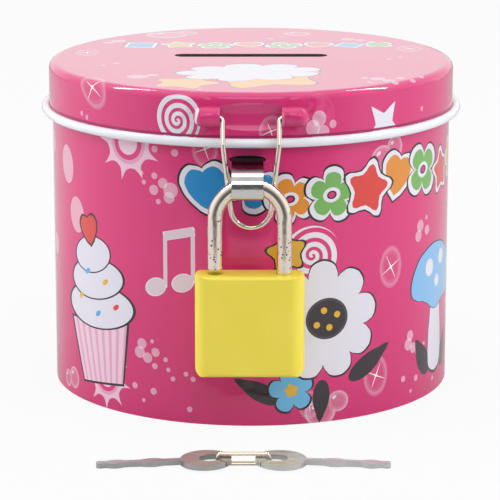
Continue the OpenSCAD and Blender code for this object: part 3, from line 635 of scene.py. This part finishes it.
# %% The lid's dots and its row
lid_dots = [
    (17.8, -53.4, 1.9), (16.8, -56, 2.0), (20, -56.2, 1.8), (22, -53.4, 1), (18.8, -58.6, 1.7),
    (22.8, -58.2, 1), (17, -60.6, 0.8), (21, -61.4, 0.8), (30, -30, 1.9), (32.4, -32.4, 1.5),
    (35.4, -29, 1.1), (27, -29, 1), (38.6, -31, 0.9), (34, -35, 1), (40.6, -27, 0.8),
    (28, -34.6, 0.8), (-34, 26, 2), (-36.4, 23.6, 1.4), (25, 29, 1.9), (28, 27.4, 1.4),
    (31, 25, 1), (-27, -27, 2.6), (-23.6, -25, 1.4), (-47, -34.6, 0.6), (-46, -37, 0.6),
    (-48.6, -36.6, 0.5), (46.6, -33.4, 0.6), (48.4, -36, 0.5), (47.4, -38.4, 0.5), (5, 30, 0.8),
    (8, 33, 0.6), (-12, -44, 0.6), (-33, -8, 0.9), (-36, -11, 0.6), (34, -2, 0.8), (37, 1, 0.6),
]
lid_row = {
    "57A6DE": [("square", (-28, 19.6), 6, 40), ("square", (25, 19.6), 5, 20)],
    "DDAB3E": [("fat_star", (-18.4, 20.4), 5.4, 8)],
    "7DB764": [("flower", (-9, 19), 5.4, 0), ("clover", (8.4, 19.2), 5.6, 20),
               ("clover", (32.6, 20.6), 4.4, 45)],
    "E0855A": [("heart", (-0.4, 20.8), 5.2, 8)],
    "DE6A58": [("heart", (17, 20.4), 5, -18)],
}
lid_eyelets = [((-9, 19), 5.4), ((8.4, 19.2), 5.6)]
print("the lid has", len(lid_dots), "dots and", sum(map(len, lid_row.values())), "shapes")

# %% [markdown]
# The cloud is a wide daisy outline in white, drawn over two yellow stars with the same soft
# line.

# %% Cloud and stars
def cloud_and_star(tree, sheet, under):
    """A white cloud that lies before a big yellow star and a small one."""
    under = stamp(tree, sheet, under, lined("EDB257", 0.76, line_soft),
                  ("fat_star", (3, -27.6), 16.4, 14), ("fat_star", (-15.4, -35.4), 8.4, -20))
    return stamp(tree, sheet, under, lined("E3E0EC", 0.77, line_soft),
                 ("daisy", (-0.4, -21), (18.4, 12.4), 10))


# %% [markdown]
# After the motifs come the white bead and a thin dark line above it, painted shade in the
# crease where the bead meets the wall. The top of the lid faces up and not outwards, so it
# has its own mask beside the wall's.

# %% The lid's print
# painted shade: the thin dark line in the crease above the bead
painted_crease_shade, crease_half = "A22A62", 0.3 * mm
bead_white = "EFF3FA"
facing_up = 0.5  # the upward part of a normal, on the lid's top and its rounded edge


def print_lid():
    """The pressed disc's print, on varnished tinplate."""
    material, tree, surface = varnished_tin("litho_printed_tinplate_lid", 0.28)
    split, flat = split_place(tree)
    reach = add(tree, "VectorMath", {0: flat}, out=1, operation="LENGTH")
    sheet = pressed_disc(tree, split, flat)
    white = dots(tree, sheet, lid_dots)
    under = add(tree, "Mix", {0: white, 6: linear(ground_pink), 7: linear(faded_white)}, out=2,
                data_type="RGBA")
    under = bubbles(tree, sheet, under, ((-22, 36), (5.4, 5)), ((-17, 39.4), (3, 3)),
                    ((12, 38), (3.6, 3.4)))
    under = swirl(tree, sheet, under, (-19.4, -53.4), 6.6, 200)
    under = stamp(tree, sheet, under, [(0, whitish, 1), (edge, whitish, 0)],
                  ("star", (37.4, -46.6), 6.8, 150))
    under = sparkles(tree, sheet, under, ((-38.6, -34), 6, 12), ((5.4, -58.6), 4.6, 24),
                     ((-41, 8), 4.4, 0), ((40, 14), 4.8, 30))
    under = cloud_and_star(tree, sheet, under)
    under = sweets(tree, sheet, under, lid_row, lid_eyelets)
    # painted shade in the crease just above the bead
    crease = add(tree, "Math",
                 {0: split.outputs["Z"], 1: bead_top + crease_half / 2, 2: crease_half},
                 operation="COMPARE")
    under = add(tree, "Mix", {0: crease, 6: under, 7: linear(painted_crease_shade)}, out=2,
                data_type="RGBA")
    beyond = add(tree, "Math", {0: reach, 1: bead_inner}, operation="GREATER_THAN")
    low = add(tree, "Math", {0: split.outputs["Z"], 1: bead_top}, operation="LESS_THAN")
    bead = add(tree, "Math", {0: beyond, 1: low}, operation="MULTIPLY")
    under = add(tree, "Mix", {0: bead, 6: under, 7: linear(bead_white)}, out=2, data_type="RGBA")
    normal = add(tree, "TexCoord", out="Normal")
    up = add(tree, "SeparateXYZ", {0: normal}, out="Z")
    upward = add(tree, "Math", {0: up, 1: facing_up}, operation="GREATER_THAN")
    outside = facing_out(tree, flat)
    outside = add(tree, "Math", {0: outside, 1: upward}, operation="MAXIMUM")
    outside = add(tree, "Math", {0: outside, 1: bead}, operation="MAXIMUM")
    bare_inside(tree, surface, under, outside)
    wavering(tree, surface, waves_per_metre=34.0, depth=0.05)
    crumple(tree, surface, split)
    print("the lid's print has", len(tree.nodes), "nodes")
    return material


coat(print_lid(), "lid_shell")

# %% [markdown]
# ## Plain metals
# The rest of the tin is bare metal: tinned sheet for the bottom plate and the rivets,
# bright nickel-plated wire, chromed sheet, grey die-cast zinc and spring steel inside the
# lock. Tinned sheet shines softly, nickel is warm and bright, chrome is cooler and almost a
# mirror, and die-cast zinc is a dull grey. One value all over would look like coloured
# glass, so noise at the size of the marks that the making leaves moves the roughness and
# lifts a faint bump. The marks are drawn a little coarser than real ones, so that they show.

# %% Plain metals
chrome, nickel = "D4D3D2", "F4E8DA"
noise_low, noise_high = 0.3, 0.7  # nearly all of a noise texture lies between these


def metal(name, chart, roughness, grain, depth, spread=0.08):
    """A bare metal. The grain is the size of its marks, and the depth is how deep they are."""
    material, tree, surface = new_finish(name, chart, Metallic=1.0, Roughness=roughness)
    place = add(tree, "TexCoord", out="Object")
    marks = add(tree, "TexNoise", {"Vector": place, "Scale": 1 / (grain * mm), "Detail": 3.0})
    rough = add(tree, "MapRange", {0: marks, 1: noise_low, 2: noise_high,
                                   3: max(roughness - spread, 0.03), 4: roughness + spread})
    tree.links.new(rough, surface.inputs["Roughness"])
    bump = add(tree, "Bump", {"Height": marks, "Distance": depth * mm, "Strength": 1.0})
    tree.links.new(bump, surface.inputs["Normal"])
    return material


tinned_sheet = metal("tinned_steel_sheet", "C9C7C1", 0.32, 2.0, 0.004)
nickel_wire = metal("bright_nickel_wire", nickel, 0.14, 1.2, 0.004)
chromed_leaf = metal("chromed_hinge_sheet", chrome, 0.14, 1.5, 0.003)
die_cast_zinc = metal("die_cast_zinc", "9C9C9E", 0.45, 0.6, 0.01)
spring_steel = metal("spring_steel", "B9B7B2", 0.25, 0.8, 0.003)
coat(tinned_sheet, "bottom_plate", "rivet_body_left", "rivet_body_right", "rivet_lid_left",
     "rivet_lid_right")
coat(nickel_wire, "hasp_wire", "key_link", "hinge_pin")
coat(chromed_leaf, "hinge_leaf_body", "hinge_leaf_lid")
coat(die_cast_zinc, "lock_core", "spring_seat", "latch_bolt", "key_plug")
coat(spring_steel, "shackle_spring", "latch_spring", "retaining_pin")

# %% [markdown]
# ## The staple's strap
# The staple is a chromed strap pushed through the wall and bent over. A press leaves a soft
# shoulder below its upper bend, and little light reaches the upper end where it goes into
# the wall. Both could be shaped in the solid, but its plain bends are easy to build and to
# measure, so a bump over the height turns the shoulder over, and painted shade, deeper the
# farther it lies from the front, darkens the end.

# %% Chromed strap
shoulder_half, shoulder_depth = 1.6 * mm, 1.0 * mm
# painted shade on the strap's upper end, where it goes into the wall
strap_painted_shade = "2C2528"


def round_shoulder_and_paint_shade(material):
    """Turns the strap over a soft edge, and paints shade on it where it goes into the wall."""
    tree = material.node_tree
    surface = tree.nodes["Principled BSDF"]
    place = add(tree, "TexCoord", out="Object")
    split = add(tree, "SeparateXYZ", {0: place}).node
    # painted shade: the strap's colour darkens towards the wall, outside the wall only
    strap_shade_fade = add(tree, "MapRange", {0: split.outputs["Y"], 1: strap_lit, 2: strap_dark})
    outside = add(tree, "Math", {0: split.outputs["Y"], 1: -body_radius},
                  operation="LESS_THAN")
    shaded = add(tree, "Math", {0: strap_shade_fade, 1: outside}, operation="MULTIPLY")
    tone = add(tree, "Mix", {0: shaded, 6: linear(chrome), 7: linear(strap_painted_shade)}, out=2,
               data_type="RGBA")
    tree.links.new(tone, surface.inputs["Base Color"])
    drop = add(tree, "MapRange",
               {0: split.outputs["Z"], 1: shoulder_height - shoulder_half,
                2: shoulder_height + shoulder_half, 3: 1.0, 4: 0.0},
               interpolation_type="SMOOTHSTEP")
    under = surface.inputs["Normal"].links[0].from_socket
    bump = add(tree, "Bump", {"Height": drop, "Distance": shoulder_depth, "Strength": 1.0,
                              "Normal": under})
    tree.links.new(bump, surface.inputs["Normal"])


chromed_strap = metal("chromed_pressed_strap", chrome, 0.1, 1.5, 0.002)
round_shoulder_and_paint_shade(chromed_strap)
coat(chromed_strap, "staple")

# %% [markdown]
# ## The shackle
# The shackle is a bent steel rod with thin nickel plating, and the plating has worn through
# in small dark specks. Single dents would need thousands of faces. Cells of a Voronoi
# texture, cut off close to their middles, give round specks, and broad noise keeps them to
# a few patches.

# %% Worn nickel plating
speck_spacing, patch_size = 0.9 * mm, 5 * mm
speck_reach, patch_level = 0.24, 0.56
worn_steel = "5A4C42"


def pit(material, chart):
    """Small dark specks where the thin plating has worn through, in loose patches."""
    tree = material.node_tree
    surface = tree.nodes["Principled BSDF"]
    place = add(tree, "TexCoord", out="Object")
    cells = add(tree, "TexVoronoi", {"Vector": place, "Scale": 1 / speck_spacing})
    patches = add(tree, "TexNoise", {"Vector": place, "Scale": 1 / patch_size, "Detail": 0.0})
    speck = add(tree, "Math", {0: cells, 1: speck_reach}, operation="LESS_THAN")
    patch = add(tree, "Math", {0: patches, 1: patch_level}, operation="GREATER_THAN")
    worn = add(tree, "Math", {0: speck, 1: patch}, operation="MULTIPLY")
    tone = add(tree, "Mix", {0: worn, 6: linear(chart), 7: linear(worn_steel)}, out=2,
               data_type="RGBA")
    tree.links.new(tone, surface.inputs["Base Color"])


nickel_rod = metal("worn_nickel_plated_rod", nickel, 0.13, 1.2, 0.004)
pit(nickel_rod, nickel)
coat(nickel_rod, "shackle")

# %% [markdown]
# ## Stamped keys
# The keys are blanked from sheet steel and tumbled, which leaves faint lines along the
# sheet. The shader's anisotropy would smear the whole reflection, which these small, dull
# pieces don't do, so stretched noise draws the lines. The two keys share one steel, painted
# darker on the left key as painted shade and lighter on the right one as painted light.

# %% Keys
lines_per_metre, line_stretch, line_depth = 180.0, 12.0, 0.004 * mm


def stamped_steel(name, chart, roughness):
    """Sheet steel with fine lines left by rolling."""
    material, tree, surface = new_finish(name, chart, Metallic=1.0, Roughness=roughness)
    place = add(tree, "TexCoord", out="Object")
    drawn = add(tree, "Mapping", {0: place, 3: (1.0, line_stretch, 1.0)})
    lines = add(tree, "TexNoise", {"Vector": drawn, "Scale": lines_per_metre, "Detail": 4.0})
    rough = add(tree, "MapRange", {0: lines, 1: noise_low, 2: noise_high,
                                   3: roughness - 0.07, 4: roughness + 0.09})
    tree.links.new(rough, surface.inputs["Roughness"])
    bump = add(tree, "Bump", {"Height": lines, "Distance": line_depth, "Strength": 1.0})
    tree.links.new(bump, surface.inputs["Normal"])
    return material


# painted shade on the left key and painted light on the right one, on one steel
coat(stamped_steel("stamped_steel_painted_shade", "BCBCBE", 0.46), "key_left")
coat(stamped_steel("stamped_steel_painted_light", "DADADC", 0.44), "key_right")

# %% [markdown]
# ## The padlock's jacket
# The jacket is injection-moulded ABS. It is a satin plastic with a fine spark-eroded
# texture from its mould, and a little light gets under its skin. A plain yellow would look
# like paint, so the tone drifts a little over the case, as the melt does when it cools.
# The texture is drawn as coarse as it has to be to show.

# %% Moulded jacket
mould_grit, grit_depth, melt_drift = 0.35 * mm, 0.006 * mm, 9 * mm


def moulded_abs():
    """Yellow ABS with the fine texture of its mould."""
    material, tree, surface = new_finish("moulded_abs_yellow", "F8E44E", Roughness=0.34, IOR=1.53,
                                         Subsurface_Weight=0.08, Subsurface_Scale=0.001)
    place = add(tree, "TexCoord", out="Object")
    grit = add(tree, "TexNoise", {"Vector": place, "Scale": 1 / mould_grit, "Detail": 2.0})
    bump = add(tree, "Bump", {"Height": grit, "Distance": grit_depth, "Strength": 1.0})
    tree.links.new(bump, surface.inputs["Normal"])
    cloudy = add(tree, "TexNoise", {"Vector": place, "Scale": 1 / melt_drift, "Detail": 1.0})
    tone = add(tree, "Mix", {0: cloudy, 6: linear("F4DF46"), 7: linear("FBE858")}, out=2,
               data_type="RGBA")
    tree.links.new(tone, surface.inputs["Base Color"])
    return material


coat(moulded_abs(), "lock_jacket")

# %% [markdown]
# ## Floor
# A pale, matt floor runs out past the view. A brighter lamp would make it white too, but it
# would bleach the tin, so camera rays see most of its colour as a plain white glow, and the
# rest still takes the tin's soft shadow. Its front edge lies out of view, and beyond that
# edge the varnish mirrors the dark front of the room and not more white floor.

# %% Floor
floor_half, floor_front = 6, 240 * mm
glow_share = 0.92
floor_mesh = bpy.data.meshes.new("floor")
floor_bm = bmesh.new()
bmesh.ops.create_grid(floor_bm, x_segments=1, y_segments=1, size=floor_half)
bmesh.ops.translate(floor_bm, vec=(0, floor_half - floor_front, 0), verts=floor_bm.verts)
floor_bm.to_mesh(floor_mesh)
floor_bm.free()
floor = bpy.data.objects.new("floor", floor_mesh)
bpy.context.scene.collection.objects.link(floor)
floor_finish, tree, surface = new_finish("matt_pale_floor", "CFCFCF", Roughness=0.9)
seen = add(tree, "LightPath", out="Is Camera Ray")
glow = add(tree, "Emission", {0: linear(pure_white), 1: 1.0})
share = add(tree, "Math", {0: seen, 1: glow_share}, operation="MULTIPLY")
mixed = add(tree, "MixShader", {0: share, 1: surface.outputs[0], 2: glow})
tree.links.new(mixed, tree.nodes["Material Output"].inputs[0])
floor_mesh.materials.append(floor_finish)
print("floor:", 2 * floor_half, "m across")

# %% [markdown]
# ## Lamps
# A real studio has soft boxes all round, and a glossy tin shows each of them. Here the work
# is shared out: two large boxes at the sides light the tin and aren't mirrored, two thin
# strips at the back are mirrored and light nothing matt, and they draw the bright lines
# along the lid's edge. A weak box overhead and one over the camera fill in and do both.

# %% Lamps
lamps_aim = Vector((0, 0, 40 * mm))


def soft_box(name, place, size, watts, spin=0.0, mirrored=True, lighting=True):
    """A rectangular lamp at a place, turned towards the middle of the tin."""
    lamp = bpy.data.lights.new(name, "AREA")
    lamp.shape, lamp.size, lamp.size_y = "RECTANGLE", *size
    lamp.energy = watts
    piece = bpy.data.objects.new(name, lamp)
    piece.location = place
    piece.visible_glossy = mirrored
    piece.visible_diffuse = lighting
    turned = Quaternion((0, 0, 1), math.radians(spin))
    aim = (lamps_aim - Vector(place)).to_track_quat("-Z", "Y")
    piece.rotation_euler = (aim @ turned).to_euler()
    bpy.context.scene.collection.objects.link(piece)
    print(name, watts, "W")


soft_box("overhead_box", (0, -0.08, 0.75), (0.8, 0.5), 0.45)
soft_box("left_strip", (-0.55, 0.15, 0.75), (0.06, 0.5), 3.3, 39, lighting=False)
soft_box("right_strip", (0.55, 0.15, 0.75), (0.06, 0.5), 3.3, -39, lighting=False)
soft_box("front_top_box", (0, -0.58, 0.52), (0.4, 0.3), 0.68)
soft_box("left_box", (-0.7, -0.05, 0.3), (0.5, 0.7), 3.05, mirrored=False)
soft_box("right_box", (0.65, -0.34, 0.35), (0.5, 0.6), 3.0, mirrored=False)

# %% [markdown]
# ## Room
# The room lights the tin from all sides and is plain white behind it. One level all over
# would lay a grey veil on the varnish, so the room is dark in front of the tin and brighter
# at its sides, and glossy rays see a little more of it than matt ones. A picture of a real
# studio could do this too, but two levels are enough for a round tin.

# %% The room around the tin
front_of_room, side_of_room = -0.9, -0.35  # how far a direction points to the front
front_level, side_level = 0.1, 0.75
glossy_gain = 0.34
room = bpy.data.worlds.new("room")
bpy.context.scene.world = room
room.use_nodes = True
tree = room.node_tree
towards = add(tree, "TexCoord", out="Generated")
frontal = add(tree, "SeparateXYZ", {0: towards}, out="Y")
walls = add(tree, "MapRange", {0: frontal, 1: front_of_room, 2: side_of_room, 3: front_level,
                               4: side_level})
rays = add(tree, "LightPath").node
gain = add(tree, "Math", {0: rays.outputs["Is Glossy Ray"], 1: glossy_gain, 2: 1.0},
           operation="MULTIPLY_ADD")
shiny = add(tree, "Math", {0: walls, 1: gain}, operation="MULTIPLY")
level = add(tree, "Mix", {0: rays.outputs["Is Camera Ray"], 2: shiny, 3: 1.0})
backdrop = tree.nodes["Background"]
backdrop.inputs[0].default_value = linear(pure_white)
tree.links.new(level, backdrop.inputs[1])
bpy.context.scene.view_settings.view_transform = "Standard"
print("room:", front_level, "in front,", side_level, "at the sides")
